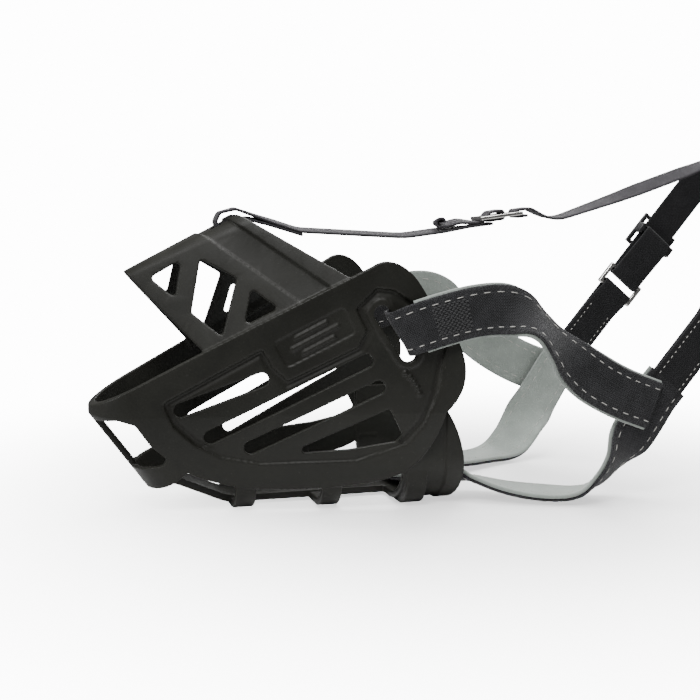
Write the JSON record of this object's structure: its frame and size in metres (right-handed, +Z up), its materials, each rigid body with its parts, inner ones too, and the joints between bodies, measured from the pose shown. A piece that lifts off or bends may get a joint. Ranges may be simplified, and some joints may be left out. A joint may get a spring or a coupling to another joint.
{
  "type": "basket muzzle",
  "caption": "Soft moulded basket muzzle with an arched nose bridge, lined cheek and throat straps, a neck loop with side-release buckle, and an adjustable forehead strap.",
  "frame": {"origin": "centre of the footprint, on the surface that the chin ribs rest on", "axes": "+X towards the neck loop, nose at -X, +Z up, the dog's left side at -Y"},
  "size_m": [0.3852, 0.1432, 0.1809],
  "materials": {
    "basket_silicone": "satin moulded silicone, olive black",
    "ribbon": "black ribbed grosgrain with looped margins and pale running stitches",
    "lining": "grey-green foam-backed mesh",
    "webbing": "black flat woven webbing",
    "forehead_webbing": "charcoal narrow webbing",
    "buckle_plastic": "fine texture, black",
    "nickel": "polished nickel plate"
  },
  "bodies": {
    "muzzle": {"basket": "basket_silicone", "cheek_ribbon_left": "ribbon", "cheek_ribbon_right": "ribbon", "cheek_lining_left": "lining", "cheek_lining_right": "lining", "collar_ribbon": "ribbon", "collar_lining": "lining", "neck_stub_left": "webbing", "neck_stub_right": "webbing", "adjuster_ring": "nickel", "neck_strap": "webbing", "neck_strap_end": "webbing", "neck_strap_return": "webbing", "forehead_strap": "forehead_webbing", "forehead_strap_rear": "forehead_webbing", "buckle_female": "buckle_plastic"},
    "buckle_male": {"buckle_male": "buckle_plastic", "buckle_prongs": "buckle_plastic"},
    "neck_adjuster": {"neck_adjuster": "buckle_plastic"},
    "forehead_slider": {"forehead_slider": "nickel", "forehead_tail": "forehead_webbing"}
  },
  "joints": [
    {"name": "buckle_release", "type": "slide", "parent": "muzzle", "child": "buckle_male", "axis": [0.6428, 0, 0.766], "range_m": [0, 0.02], "deforming": ["buckle_prongs", "neck_strap_end"]},
    {"name": "neck_adjuster_slide", "type": "slide", "parent": "muzzle", "child": "neck_adjuster", "axis": [0.6428, 0, 0.766], "range_m": [-0.01, 0.018], "deforming": ["neck_strap_return"]},
    {"name": "forehead_slide", "type": "slide", "parent": "muzzle", "child": "forehead_slider", "axis": [0.9923, 0, 0.124], "range_m": [-0.018, 0.003], "deforming": ["forehead_strap_rear"]}
  ]
}
